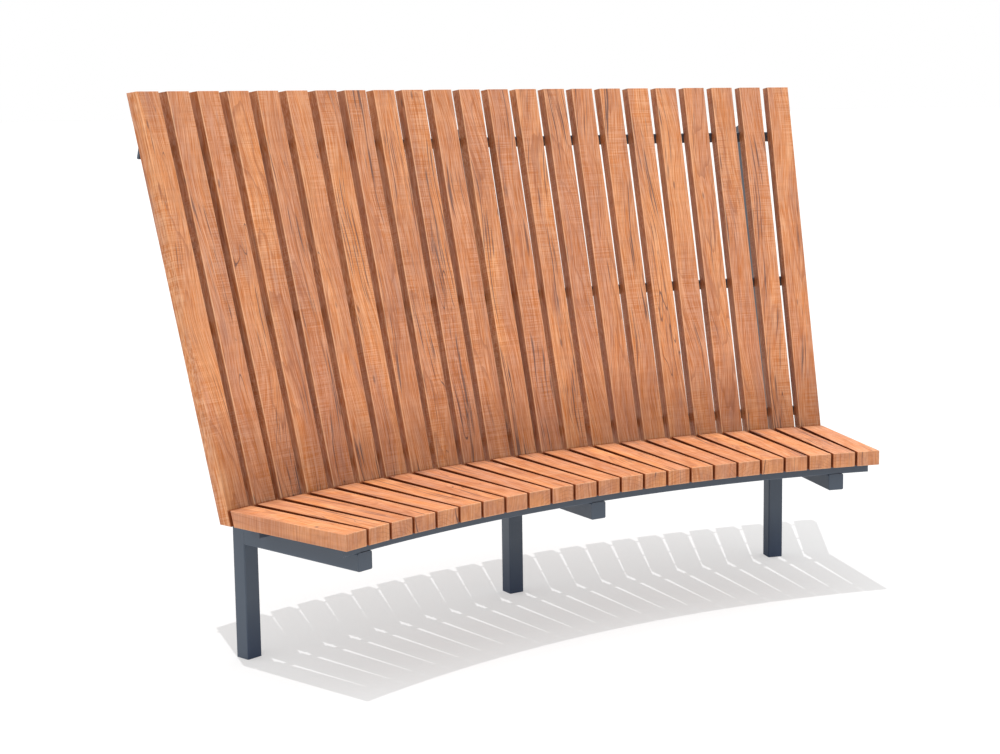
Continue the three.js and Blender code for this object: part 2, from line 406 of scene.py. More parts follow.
place = separate(t, given["Place"])
lot = separate(t, given["Lot"])
slant = combine(t, X=times(t, centred(lot["X"], SLANT), place["Y"]))
spread = vector_node(t, "MULTIPLY_ADD", given["Lot"], LOT_SPREAD, slant)
spot = vector_node(t, "ADD", given["Place"], spread)
spot = vector_node(t, "ADD", spot, combine(t, X=centred(stretched("sway"), SWAY)))
print("grain group: the place in the timber, with", len(t.nodes), "nodes")

# %% [markdown]
# Seen close, a planed board shows fibres and finer threads along it, curls that cross
# them in places, and soft wide and narrow bands. The front end and the sides of a seat
# board are sawn and not planed, so fine saw marks take the place of the fibres there.
# Each noise swings the tone about its middle value, which is simpler to balance than a
# chain of colour ramps.

# %% Fibres, bands and smudges
SWINGS = {"fibre": 2.5, "thread": 2.4, "curl line": 1.8, "saw mark": 1.8, "band": 0.80,
          "wide band": 0.34, "cross band": 0.36, "patch": 0.34}
EVEN = 0.5


def add_swing(total, noise, strength):
    return plus(t, total, times(t, minus(t, noise, EVEN), strength))


near_side = minus(t, given["Half Width"], math_node(t, "ABSOLUTE", place["X"]))
near_face = minus(t, given["Half Thickness"], math_node(t, "ABSOLUTE", place["Z"]))
near_end = given["From Front End"]
sawn_face = times(t, given["Cross Cut"],
                  ramp(math_node(t, "MINIMUM", near_side, near_end), "sawn face"))
planed_face = minus(t, 1.0, sawn_face)
tone = masked("tone")
smudges = masked("smudge")
curl = times(t, masked("curl"), planed_face)
fibre = stretched("fibre")
threads = add_swing(EVEN, fibre, times(t, planed_face, SWINGS["fibre"]))
for name, where in (("thread", planed_face), ("curl line", curl), ("saw mark", sawn_face)):
    threads = add_swing(threads, stretched(name), times(t, where, SWINGS[name]))
figure = EVEN
for name in ("band", "wide band", "cross band", "patch"):
    figure = add_swing(figure, stretched(name), SWINGS[name])
print("grain group: fibres and bands, with", len(t.nodes), "nodes")

# %% [markdown]
# Growth rings are circles round a pith that lies behind the board and runs a little
# askew to it, and where a flat face cuts them they draw the tall arches of a sawn
# plank. A picture of arches would be easier, but it would not turn the corner. The
# distance from the pith is divided by the spacing and wobbled, and the dark late wood
# of each ring builds up slowly and ends sharply. Rings only show in some patches.

# %% Growth rings
WANDER, RING_WOBBLE = 0.030, 0.9
PITH_ASIDE, PITH_SLANT = 0.09, 0.18
PITH_NEAREST, PITH_RANGE = 0.035, 0.09
wander = centred(stretched("wander"), WANDER)
side = plus(t, centred(lot["X"], PITH_ASIDE), plus(t, place["X"], wander))
skew = times(t, centred(lot["Z"], PITH_SLANT), place["Y"])
deep = plus(t, times_plus(t, lot["Y"], PITH_RANGE, PITH_NEAREST),
            plus(t, plus(t, place["Z"], wander), skew))
turns = math_node(t, "DIVIDE", distance(t, side, deep), given["Ring Spacing"])
saw = math_node(t, "FRACT", times_plus(t, stretched("ring wobble"), RING_WOBBLE, turns))
late = times(t, ramp(saw, "late wood"), ramp(saw, "ring end"))
rings = times(t, late, masked("ring patch"))
print("grain group: growth rings, with", len(t.nodes), "nodes")

# %% [markdown]
# The odd dark marks make a board look real: gum streaks, long checks on planed faces,
# shakes on sawn ones, and small ticks. The contour line of a slow noise is thin and
# wanders, so it makes a good check, and scattered cells of which few are chosen make
# the ticks. Long edges and the edges of the front end are paler, partly from wear and
# partly as a painted highlight where the rounded edge catches the light. The group puts
# out masks, and the timber finish decides what to do with them.

# %% Streaks, checks, ticks and pale edges of wear and painted highlight
TICK_CELLS, TICK_RARITY = (34, 9, 24), 0.86
FIBRE_RISE, CHECK_FALL = 0.6, 0.8


def contour(name):
    return ramp(math_node(t, "ABSOLUTE", minus(t, stretched(name), EVEN)), name)


streaks = times(t, times(t, masked("streak"), masked("streak patch")), planed_face)
split = times(t, times(t, contour("split"), masked("split patch")), planed_face)
shake = times(t, times(t, contour("shake"), sawn_face), masked("shake patch"))
checks = math_node(t, "MAXIMUM", split, shake)
cell = put(t, "ShaderNodeTexVoronoi", {"Vector": vector_node(t, "MULTIPLY", spot, TICK_CELLS),
                                       "Scale": 1.0}).outputs
chosen = math_node(t, "GREATER_THAN", separate(t, cell["Color"])[0], TICK_RARITY)
ticks = times(t, times(t, ramp(cell["Distance"], "tick"), chosen), planed_face)
near_corner = math_node(t, "MINIMUM", plus(t, near_side, near_face),
                        plus(t, near_end, math_node(t, "MINIMUM", near_side, near_face)))
# Edge mask: part wear, part painted highlight on the rounded edges.
edge = times(t, ramp(near_corner, "corner"), masked("edge wear and sheen"))
rise = minus(t, times(t, fibre, FIBRE_RISE), times(t, checks, CHECK_FALL))
for label, value in zip(GRAIN_OUTPUTS, (tone, threads, figure, smudges, rings, streaks, checks,
                                        ticks, edge, rise)):
    t.links.new(value, output[label])
print("grain group:", len(t.nodes), "nodes in all")

# %% [markdown]
# The same timber looks different from place to place, so its finish first finds out
# where on the bench it is. Painting that by hand would be quick for one board but not
# for 46. Object coordinates give the distance from the circle's centre, the bearing
# from the middle, the height over the seat and the depth behind the leaning front
# plane of the backrest: a point well in front of that plane is on a seat board. The
# board's own place tells its sides from its other faces, and a side between the axes
# of the two outermost boards faces a gap.

# %% Where a point of the timber lies
SIDE_SKIN, SIDE_FULL = 0.0012, 0.0002


def new_material(name):
    material = bpy.data.materials.new(name)
    material.use_nodes = True
    tree = material.node_tree
    return material, tree, tree.nodes["Principled BSDF"].inputs


def about_centre(tree, point):
    out_y = minus(tree, point["Y"], CENTRE_Y)
    bearing = math_node(tree, "ABSOLUTE", math_node(tree, "ARCTAN2", point["X"], out_y))
    return distance(tree, point["X"], out_y), bearing


timber, t, skin = new_material("oiled_timber")
own_place = put(t, "ShaderNodeAttribute", attribute_name="own_place").outputs["Vector"]
own_lot = put(t, "ShaderNodeAttribute", attribute_name="own_lot").outputs["Vector"]
place = separate(t, own_place)
lot = separate(t, own_lot)
point = separate(t, put(t, "ShaderNodeTexCoord").outputs["Object"])
radius, bearing = about_centre(t, point)
up = minus(t, point["Z"], SEAT_HEIGHT)
back = minus(t, minus(t, radius, BACK_PLANE_RADIUS), times(t, up, TAN))
on_seat = math_node(t, "LESS_THAN", back, -SEAT_TO_BACK_GAP / 2)
across = times_plus(t, on_seat, SIDE_SKIN, math_node(t, "ABSOLUTE", place["X"]))
on_side = fit(t, across, BOARD_WIDTH / 2 - SIDE_SKIN, BOARD_WIDTH / 2 - SIDE_FULL)
between = math_node(t, "LESS_THAN", bearing, MIDDLE_BOARD * BOARD_ANGLE)
print("timber finish: places, with", len(t.nodes), "nodes")

# %% [markdown]
# The boards are an oiled tropical hardwood: orange brown, with calmer boards that lean
# to a greyish pink. One colour ramp could give that, but each layer of the grain tints
# the colour below it, as in real timber. Dark marks are calmer on the sides. The pale
# edges are partly worn and partly a painted highlight where the rounded edge catches
# the light: the painted highlight is strongest on the left of the back boards, where
# the light falls, as in the photograph, and weakest on the outermost edges. A back
# board has no front end, so its distance from one is moved a metre away.

# %% Timber colour
ORANGE = (0.67, 0.283, 0.108, 1)
TAWNY = (0.535, 0.222, 0.102, 1)
CALM = (0.50, 0.208, 0.104, 1)
SMOKE = (0.24, 0.125, 0.112, 1)
RING_BROWN = (0.30, 0.100, 0.044, 1)
GUM = (0.100, 0.054, 0.050, 1)
PALE_WEAR_AND_SHEEN = (0.90, 0.54, 0.32, 1)
DARK_TINT, LIGHT_TINT = (0.64, 0.60, 0.62, 1), (1.27, 1.30, 1.26, 1)
DARK_THREAD, LIGHT_THREAD = (0.84, 0.63, 0.36, 1), (1.11, 1.32, 1.76, 1)
RING_SPACING = 0.0105
CALM_STEP, CALM_SHARE = 7.3, 0.5
SMUDGE_SHARE, RING_SHARE, TICK_SHARE, MARK_SHARE, CALM_SIDE = 0.36, 0.50, 0.60, 0.80, 0.65
EDGE_WEAR_AND_SHEEN, LEFT_EDGE_HIGHLIGHT, LEAST_EDGE_SHEEN, OUTER_EDGE_SHEEN = 0.25, 0.35, 0.32, 0.35
NO_END = 1.0


def mix_colour(tree, share, low, high, blend="MIX"):
    return put(tree, "ShaderNodeMix", {0: share, 6: low, 7: high}, data_type="RGBA",
               blend_type=blend).outputs[2]


look = put(t, "ShaderNodeGroup", {
    "Place": own_place, "Lot": own_lot, "Ring Spacing": RING_SPACING,
    "Half Width": BOARD_WIDTH / 2, "Half Thickness": BOARD_THICKNESS / 2,
    "From Front End": minus(t, plus(t, place["Y"], NO_END), on_seat), "Cross Cut": on_seat},
    node_tree=grain)
layer = look.outputs
base = mix_colour(t, layer["Tone"], ORANGE, TAWNY)
calm = times(t, math_node(t, "FRACT", times(t, lot["Z"], CALM_STEP)), CALM_SHARE)
base = mix_colour(t, calm, base, CALM)
for label, low, high in (("Figure", DARK_TINT, LIGHT_TINT), ("Fibre", DARK_THREAD, LIGHT_THREAD)):
    base = mix_colour(t, 1.0, base, mix_colour(t, layer[label], low, high), blend="MULTIPLY")
on_left = math_node(t, "LESS_THAN", place["X"], 0.0)
# Painted highlight: left edges of the back boards are painted palest, where the light falls; all
# edges also get some wear.
edge_wear_and_sheen = times_plus(t, minus(t, on_left, on_seat), LEFT_EDGE_HIGHLIGHT, EDGE_WEAR_AND_SHEEN)
edge_wear_and_sheen = math_node(t, "MAXIMUM", edge_wear_and_sheen, LEAST_EDGE_SHEEN)
edge_wear_and_sheen = times(t, edge_wear_and_sheen, times_plus(t, between, 1.0 - OUTER_EDGE_SHEEN, OUTER_EDGE_SHEEN))
dark_marks = times_plus(t, on_side, -CALM_SIDE * MARK_SHARE, MARK_SHARE)
for label, strength, colour in (("Smudges", SMUDGE_SHARE, SMOKE),
                                ("Rings", RING_SHARE, RING_BROWN),
                                ("Streaks", dark_marks, GUM), ("Checks", dark_marks, GUM),
                                ("Ticks", TICK_SHARE, GUM), ("Edge", edge_wear_and_sheen, PALE_WEAR_AND_SHEEN)):
    base = mix_colour(t, times(t, layer[label], strength), base, colour)
print("timber finish: colour, with", len(t.nodes), "nodes")

# %% [markdown]
# In the corner of seat and backrest, in the gaps and below the seat's top the real
# bench is darker and redder than the even light of this stage leaves it, because light
# that bounces between oiled boards turns warm. Darker lamps would change the whole
# bench, so the finish shades these places itself: the corner fades out over a hand's
# width on the seat and further up the backrest, the gaps of the seat get lighter at
# the front end, and the feet of the back boards darken just below the seat's top.

# %% Shade in the corner and in the gaps
NOOK_SHADE, BACK_NOOK, SEAT_NOOK = 0.66, 0.30, 0.07
SIDE_SHADE, SEAT_SIDE_SHADE, SEAT_FRONT_SHADE, OPEN_DEPTH = 0.75, 0.10, 0.30, 0.030
SUNK_START, SUNK_DEPTH, SUNK_SHADE, FACE_SKIN = 0.0015, 0.005, 0.28, 0.0026
SIDE_TINT = (1.08, 0.99, 0.88, 1)
DEEP_TINT, WHITE = (1.6, 0.80, 0.50, 1), (1.0, 1.0, 1.0, 1)
DEEPEST, NO_LONGER_DEEP = 0.1, 0.6


def mix(tree, share, low, high):
    return put(tree, "ShaderNodeMix", {0: share, 2: low, 3: high}).outputs[0]


up_share = math_node(t, "DIVIDE", math_node(t, "MAXIMUM", up, 0.0), BACK_NOOK)
out_share = math_node(t, "DIVIDE", math_node(t, "MINIMUM", back, 0.0), -SEAT_NOOK)
nook = fit(t, plus(t, up_share, out_share), 0.0, 1.0, NOOK_SHADE, 1.0, steps="SMOOTHSTEP")
seat_side = fit(t, place["Y"], 0.0, OPEN_DEPTH, SEAT_FRONT_SHADE, SEAT_SIDE_SHADE)
in_gap = mix(t, on_seat, SIDE_SHADE, seat_side)
shade = mix(t, on_side, nook, mix(t, between, 1.0, in_gap))
sunk = fit(t, up, -SUNK_DEPTH, SUNK_START, SUNK_SHADE, 1.0)
on_front = math_node(t, "GREATER_THAN", place["Z"], BOARD_THICKNESS / 2 - FACE_SKIN)
shade = times(t, shade, mix(t, times(t, minus(t, 1.0, on_seat), on_front), 1.0, sunk))
shaded = put(t, "ShaderNodeVectorMath", {0: base, "Scale": shade}, operation="SCALE").outputs[0]
shaded = mix_colour(t, times(t, on_side, between), shaded, SIDE_TINT, blend="MULTIPLY")
depth_tint = mix_colour(t, fit(t, shade, DEEPEST, NO_LONGER_DEEP), DEEP_TINT, WHITE)
shaded = mix_colour(t, 1.0, shaded, depth_tint, blend="MULTIPLY")
t.links.new(shaded, skin["Base Color"])
print("timber finish: shade, with", len(t.nodes), "nodes")

# %% [markdown]
# Oil leaves the timber with a soft sheen. One roughness would look like plastic, so
# the dark bands, which soak up more oil, are rougher, the shaded places mirror less,
# and a fine bump lets the light catch the fibres. The rounded edges are in the mesh.

# %% Timber sheen
DARK_ROUGHNESS, LIGHT_ROUGHNESS, OIL_GLOSS = 0.62, 0.48, 0.35
FIBRE_BUMP, FIBRE_DEPTH = 0.35, 0.0006
rough = fit(t, layer["Figure"], 0.0, 1.0, DARK_ROUGHNESS, LIGHT_ROUGHNESS)
t.links.new(rough, skin["Roughness"])
t.links.new(times(t, shade, OIL_GLOSS), skin["Specular IOR Level"])
bump = put(t, "ShaderNodeBump", {"Strength": FIBRE_BUMP, "Distance": FIBRE_DEPTH,
                                 "Height": layer["Height"]})
t.links.new(bump.outputs[0], skin["Normal"])
print("timber finish:", len(t.nodes), "nodes in all")

# %% [markdown]
# Steel parts are powder coated in a dark blue grey. Powder coat flows into a skin with a
# very fine ripple and is never quite one colour, so a slow noise varies colour and
# roughness, and a fast one bumps the skin. Toward the floor the tubes get painted shade:
# they turn darker, bluer and duller, but only a little on the outer faces of the outer
# legs. The inner faces of these legs and arms, under the seat, get painted shade too:
# a darker colour, and they mirror less of the bright stage. The screws behind the
# backrest are plain zinc, so that they read as a separate metal. All of it could be
# painted on by hand, but numbers from the sizes of the bench stay right when a size
# changes.

# %% Metal finishes
VARIATIONS = {"Cloud": (9.0, 3.0), "Height": (420.0, 2.0)}
CLOUD_LOW, CLOUD_HIGH, ROUGHNESS_SPREAD, RIPPLE_DEPTH = 0.3, 0.7, 0.05, 0.0003
METAL_GLOSS = 0.5
FOOT_HEIGHT, FOOT_SHADE_DULLNESS, FOOT_SHADE_TINT = 0.175, 0.72, (0.66, 0.69, 0.84, 1)
FACE_MARGIN, OPEN_SHARE = 0.0008, 0.75
OUTER_BEARING = (MIDDLE_BOARD - 1) * BOARD_ANGLE
OUTER_FACE = OUTER_BEARING + (TUBE_SIZE / 2 - FACE_MARGIN) / LEG_RADIUS
INNER_SKIN, INNER_SHADE_DULLNESS, INNER_SHADE_TINT = 0.002, 0.6, (0.80, 0.83, 0.86, 1)

varied, given, output = new_tree("coat_variation", {"Vector": ["Place"]},
                                 {"Float": VARIATIONS}, kind="Shader")
for label, (scale, detail) in VARIATIONS.items():
    noise = put(varied, "ShaderNodeTexNoise", {"Vector": given["Place"], "Scale": scale,
                                               "Detail": detail})
    varied.links.new(noise.outputs[0], output[label])


def metal(name, dark, light, roughness, metallic, ripple):
    material, t, skin = new_material(name)
    place = put(t, "ShaderNodeTexCoord").outputs["Object"]
    look = put(t, "ShaderNodeGroup", {"Place": place}, node_tree=varied).outputs
    point = separate(t, place)
    radius, bearing = about_centre(t, point)
    open_side = math_node(t, "GREATER_THAN", bearing, OUTER_FACE)
    # Painted shade: the tubes darken and dull toward the floor, much less on the outer faces of
    # the outer legs.
    foot_shade = times(t, fit(t, point["Z"], 0.0, FOOT_HEIGHT, 1.0, 0.0),
                     times_plus(t, open_side, -OPEN_SHARE, 1.0))
    # Painted shade: the inner faces of the legs and arms under the seat are darkened and mirror
    # less.
    inward = times(t, radius, minus(t, OUTER_BEARING, bearing))
    inner_shade = times(t, math_node(t, "COMPARE", inward, TUBE_SIZE / 2, INNER_SKIN),
                  math_node(t, "LESS_THAN", point["Z"], ARM_TOP))
    colour = mix_colour(t, look["Cloud"], dark, light)
    colour = mix_colour(t, foot_shade, colour, FOOT_SHADE_TINT, blend="MULTIPLY")
    colour = mix_colour(t, inner_shade, colour, INNER_SHADE_TINT, blend="MULTIPLY")
    t.links.new(colour, skin["Base Color"])
    shine = times_plus(t, foot_shade, -FOOT_SHADE_DULLNESS * METAL_GLOSS, METAL_GLOSS)
    shine = times(t, shine, times_plus(t, inner_shade, -INNER_SHADE_DULLNESS, 1.0))
    t.links.new(shine, skin["Specular IOR Level"])
    worn = fit(t, look["Cloud"], CLOUD_LOW, CLOUD_HIGH, roughness - ROUGHNESS_SPREAD,
               roughness + ROUGHNESS_SPREAD)
    t.links.new(worn, skin["Roughness"])
    rippled = put(t, "ShaderNodeBump", {"Strength": ripple, "Distance": RIPPLE_DEPTH,
                                        "Height": look["Height"]})
    t.links.new(rippled.outputs[0], skin["Normal"])
    skin["Metallic"].default_value = metallic
    return material


coat = metal("grey_powder_coat", dark=(0.050, 0.069, 0.097, 1), light=(0.064, 0.087, 0.121, 1),
             roughness=0.42, metallic=0.0, ripple=0.12)
zinc = metal("zinc_screw", dark=(0.20, 0.21, 0.22, 1), light=(0.27, 0.28, 0.29, 1),
             roughness=0.45, metallic=1.0, ripple=0.05)
print("metal finishes:", coat.name, "and", zinc.name)

# %% [markdown]
# The boards. All 46 have the same section, and only their place on the circle, their
# ends and their lot of timber change, so one function and one loop make them. A lot is
# three fixed random numbers that choose the grain, so no two boards match. Seat boards
# lie flat, square at the front and cut back to the slope of the backrest behind. Back
# boards stand level on the line of the seat's underside, and their tops fall slightly
# to the rear.

# %% Timber boards
ARRIS, ARRIS_STEPS, END_EDGE = 0.0025, 5, 0.0008
LOT_SEED = 41
lots = random.Random(LOT_SEED)


def board(name, offset, start, end, start_slope, end_slope, lean, radius, height):
    lot = tuple(lots.random() for _ in range(3))
    values = {"Start": start, "End": end, "Start Slope": start_slope, "End Slope": end_slope,
              "Width": BOARD_WIDTH, "Thickness": BOARD_THICKNESS, "Corner": ARRIS,
              "Corner Steps": ARRIS_STEPS, "Lean": lean, "Radius": radius, "Height": height,
              "Turn": -offset * BOARD_ANGLE, "Centre Y": CENTRE_Y, "Lot": lot,
              "Material": timber}
    return keep(smooth(grow(f"timber_{name}", bar_tree, values, edge=END_EDGE)), "wood", name)


half = BOARD_THICKNESS / 2
fall = math.tan(TOP_CUT_ANGLE)
top_slope = (SIN - COS * fall) / (COS + SIN * fall)
back_foot = (-BOARD_THICKNESS + half * SIN) / COS
back_top = BACK_RISE * (1 + TAN * fall) / (COS + SIN * fall) + half * top_slope
for i in range(BOARD_COUNT):
    offset = i - MIDDLE_BOARD
    board(f"seat_board_{i + 1:02d}", offset, 0.0, SEAT_DEPTH - half * TAN, 0.0, TAN,
          0.0, SEAT_FRONT_RADIUS, SEAT_HEIGHT - half)
    board(f"back_board_{i + 1:02d}", offset, back_foot, back_top, -TAN, -top_slope,
          math.pi / 2 - LEAN_ANGLE, BACK_PLANE_RADIUS + half * COS, SEAT_HEIGHT - half * SIN)
print("boards:", 2 * BOARD_COUNT)

# %% [markdown]
# The legs, arms and back posts are one square tube, so the tree for boards makes them
# too, with the tube's own corner. The top of each leg and the foot of its post are cut
# on the same mitre, half of the lean each. The open ends are closed by plates that are
# welded flush, so nothing shows the hollow and only the outer skin is made.

# %% Legs, arms and posts
TUBE_CORNER, TUBE_STEPS = 0.0045, 7
mitre = math.tan(LEAN_ANGLE / 2)
kink_up = (KINK_ABOVE_SEAT + POST_AXIS_DEPTH * SIN) / COS
arm_height = ARM_TOP - TUBE_SIZE / 2
leg_front = LEG_RADIUS - TUBE_SIZE / 2


def tube_values(side, start, end, height):
    return {"Start": start, "End": end, "Width": TUBE_SIZE, "Thickness": TUBE_SIZE,
            "Corner": TUBE_CORNER, "Corner Steps": TUBE_STEPS, "Height": height,
            "Turn": -SIDES[side] * BOARD_ANGLE, "Centre Y": CENTRE_Y, "Material": coat}


def tube(name, side, start, end, height, start_slope=0.0, end_slope=0.0, lean=0.0, radius=0.0):
    values = tube_values(side, start, end, height)
    values.update({"Start Slope": start_slope, "End Slope": end_slope, "Lean": lean,
                   "Radius": radius})
    piece = grow(f"tube_{name}_{side}", bar_tree, values, edge=END_EDGE)
    return keep(smooth(piece), "frame", f"{name}_{side}")


for side in SIDES:
    tube("leg", side, 0.0, KINK_HEIGHT - WELD_GAP / 2, 0.0, end_slope=mitre,
         lean=math.pi / 2, radius=LEG_RADIUS)
    tube("seat_arm", side, FRAME_FRONT_RADIUS, leg_front - WELD_GAP, arm_height)
    tube("back_post", side, kink_up + WELD_GAP / 2, TOP_RAIL_UP + POST_ABOVE_TOP_RAIL,
         SEAT_HEIGHT - POST_AXIS_DEPTH * SIN, start_slope=-mitre,
         lean=math.pi / 2 - LEAN_ANGLE, radius=BACK_PLANE_RADIUS + POST_AXIS_DEPTH * COS)
print("tubes:", 3 * len(SIDES))

# %% [markdown]
# Five rails follow the circle. On the real bench they are rolled, and a second tree
# does the same: it sweeps a rounded section along an arc, with its ends counted to the
# left and right of the middle. A straight bar could be bent by a modifier, but then its
# two ends would be harder to place. A small hole can be cut in the right end, which
# lets a coated hollow tube drain, and a section can be turned, to lean with the boards.

# %% Geometry Nodes tree for a rolled rail
RAIL_INPUTS = {
    "Float": ["Radius", "Height", "Left End", "Right End", "Width", "Thickness", "Corner",
              "Lean", "Vent", "Vent Depth", "Centre Y"],
    "Int": ["Steps", "Corner Steps"], "Material": ["Material"],
}
DRILL_SIDES = 20
rail_tree, given, output = new_tree("rolled_rail", RAIL_INPUTS, SHAPE)
t = rail_tree
first = minus(t, math.pi / 2, given["Right End"])
sweep = plus(t, given["Left End"], given["Right End"])
arc = put(t, "GeometryNodeCurveArc", {"Resolution": given["Steps"], "Radius": given["Radius"],
                                      "Start Angle": first, "Sweep Angle": sweep},
          mode="RADIUS").outputs["Curve"]
section = rounded_outline(t, given["Width"], given["Thickness"], given["Corner"],
                          given["Corner Steps"])
section = moved(t, section, combine(t, Z=given["Lean"]), (0, 0, 0))
rolled = put(t, "GeometryNodeCurveToMesh", {"Curve": level_curve(t, arc),
                                            "Profile Curve": section,
                                            "Fill Caps": True}).outputs[0]
drill = put(t, "GeometryNodeMeshCylinder", {
    "Vertices": DRILL_SIDES, "Radius": times(t, given["Vent"], 0.5),
    "Depth": times(t, given["Vent Depth"], 2.0)}).outputs["Mesh"]
at_end = combine(t, X=times(t, math_node(t, "COSINE", first), given["Radius"]),
                 Y=times(t, math_node(t, "SINE", first), given["Radius"]))
drill = moved(t, moved(t, drill, (math.pi / 2, 0, 0), (0, 0, 0)), combine(t, Z=first), at_end)
bored = put(t, "GeometryNodeMeshBoolean", {"Mesh 1": rolled, "Mesh 2": drill},
            operation="DIFFERENCE", solver="EXACT").outputs[0]
vented = math_node(t, "GREATER_THAN", given["Vent"], 0.0)
rolled = put(t, "GeometryNodeSwitch", {"Switch": vented, "False": rolled, "True": bored},
             input_type="GEOMETRY").outputs[0]
finished(t, placed(t, rolled, 0.0, 0.0, given["Height"], 0.0, given["Centre Y"]),
         given["Material"], output)
print("rolled rail tree:", len(t.nodes), "nodes")

# %% [markdown]
# The two rails under the seat are square tubes with closed ends and a vent hole, and
# Solidify gives them their wall, because the hole lets the wall be seen. The three flat
# bars behind the back boards lean with them, so each is a strip of a cone. One function
# makes all five, and only the section, the lean and the wall differ.

# %% Rails under the seat and behind the backrest
RAIL_STEPS, RAIL_CORNER, BAR_CORNER, VENT_DEPTH = 93, 0.0035, 0.0010, 0.012


def rail(name, radius, height, ends, width, thickness, corner, lean=0.0, wall=0.0):
    left, right = (end * BOARD_ANGLE for end in ends)
    values = {"Radius": radius, "Height": height, "Left End": left, "Right End": right,
              "Steps": RAIL_STEPS, "Width": width, "Thickness": thickness, "Corner": corner,
              "Corner Steps": TUBE_STEPS, "Lean": lean, "Vent": SEAT_RAIL_VENT if wall else 0.0,
              "Vent Depth": VENT_DEPTH, "Centre Y": CENTRE_Y, "Material": coat}
    piece = grow(f"rolled_{name}", rail_tree, values, wall=wall)
    return keep(smooth(piece), "frame", name)


def behind_backrest(up, depth):
    return BACK_PLANE_RADIUS + up * SIN + depth * COS, SEAT_HEIGHT + up * COS - depth * SIN


for row, radius in SEAT_RAIL_RADII.items():
    rail(f"seat_rail_{row}", radius, RAIL_TOP - SEAT_RAIL_SIZE / 2, SEAT_RAIL_ENDS,
         SEAT_RAIL_SIZE, SEAT_RAIL_SIZE, RAIL_CORNER, wall=SEAT_RAIL_WALL)
for level, up in BACK_RAIL_UPS.items():
    rail(f"back_rail_{level}", *behind_backrest(up, BACK_RAIL_DEPTH + BACK_RAIL_THICKNESS / 2),
         (BACK_RAIL_ENDS[level],) * 2, BACK_RAIL_THICKNESS, BACK_RAIL_HEIGHT, BAR_CORNER,
         lean=-LEAN_ANGLE)
print("rails:", len(SEAT_RAIL_RADII) + len(BACK_RAIL_UPS))

# %% [markdown]
# Every board is screwed on from where nobody sits: from below through the seat rails,
# and from behind through the back rails. That is 115 screws, too many to model one by
# one, so a tree makes a whole row. It bends a line of points round the circle and
# stands a hexagon head with its washer on each. Where a tube passes behind a board, the
# screw steps aside of it, and the first screw stays on the rail's left end.

# %% Geometry Nodes tree for a row of screws
SCREW_INPUTS = {
    "Float": ["Spacing", "Radius", "Height", "Tilt", "Head Radius", "Head Depth",
              "Washer Radius", "Washer Depth", "Step Aside", "Left End", "Centre Y"],
    "Int": ["Count", "Support Every"], "Material": ["Material"],
}
HEAD_SIDES, WASHER_SIDES = 6, 18
SAME_NUMBER = 0.1


def disc(tree, sides, radius, depth, lift):
    made = put(tree, "GeometryNodeMeshCylinder", {"Vertices": sides, "Radius": radius,
                                                  "Depth": depth}).outputs["Mesh"]
    return moved(tree, made, (0, 0, 0), combine(tree, Z=lift))


screw_tree, given, output = new_tree("screw_row", SCREW_INPUTS, SHAPE)
t = screw_tree
line = put(t, "GeometryNodeMeshLine", {"Count": given["Count"]}).outputs[0]
number = put(t, "GeometryNodeInputIndex").outputs[0]
past_support = math_node(t, "MODULO", minus(t, number, 1.0), given["Support Every"])
on_support = math_node(t, "COMPARE", past_support, 0.0, SAME_NUMBER)
middle = times(t, minus(t, given["Count"], 1.0), 0.5)
from_middle = times(t, minus(t, number, middle), given["Spacing"])
aside = times(t, on_support, math_node(t, "DIVIDE", given["Step Aside"], given["Radius"]))
angle = math_node(t, "MAXIMUM", plus(t, from_middle, aside), given["Left End"])
on_circle = combine(t, X=times(t, math_node(t, "SINE", angle), given["Radius"]),
                    Y=times_plus(t, math_node(t, "COSINE", angle), given["Radius"],
                                 given["Centre Y"]),
                    Z=given["Height"])
spots = put(t, "GeometryNodeSetPosition", {"Geometry": line, "Position": on_circle}).outputs[0]
half_head = times(t, given["Head Depth"], 0.5)
half_washer = times(t, given["Washer Depth"], 0.5)
head = disc(t, HEAD_SIDES, given["Head Radius"], given["Head Depth"],
            plus(t, half_head, given["Washer Depth"]))
washer = disc(t, WASHER_SIDES, given["Washer Radius"], given["Washer Depth"], half_washer)
screw = put(t, "GeometryNodeJoinGeometry")
t.links.new(head, screw.inputs[0])
t.links.new(washer, screw.inputs[0])
facing = combine(t, X=given["Tilt"], Z=times(t, angle, -1.0))
row = put(t, "GeometryNodeInstanceOnPoints", {
    "Points": spots, "Instance": screw.outputs[0], "Rotation": facing}).outputs[0]
finished(t, row, given["Material"], output)
print("screw row tree:", len(t.nodes), "nodes")

# %% [markdown]
# Two rows sit under the seat rails and three behind the back rails, each made by one
# call. Heads under the seat are low and coated with the frame, because the photograph
# shows nothing below the rails. Behind the backrest the heads are full and of plain
# zinc, which is a guess, because no photograph shows the rear.

# %% Rows of screws
HEAD_RADIUS, HEAD_DEPTH, WASHER_RADIUS, WASHER_DEPTH = 0.0058, 0.0040, 0.0060, 0.0012
LOW_HEAD_DEPTH, LOW_WASHER_DEPTH = 0.0014, 0.0004
STEP_ASIDE, HEAD_BREAK, END_MARGIN = 0.0313, 0.0003, 0.008


def screws(name, radius, height, tilt, reach, head=HEAD_DEPTH, washer=WASHER_DEPTH, finish=zinc):
    values = {"Count": BOARD_COUNT, "Spacing": BOARD_ANGLE, "Radius": radius, "Height": height,
              "Tilt": tilt, "Head Radius": HEAD_RADIUS, "Head Depth": head,
              "Washer Radius": WASHER_RADIUS, "Washer Depth": washer,
              "Support Every": MIDDLE_BOARD - 1, "Step Aside": STEP_ASIDE,
              "Left End": END_MARGIN / radius - reach * BOARD_ANGLE,
              "Centre Y": CENTRE_Y, "Material": finish}
    piece = grow(f"screws_{name}", screw_tree, values, edge=HEAD_BREAK)
    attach(smooth(piece), "root")
    return len(piece.data.polygons)


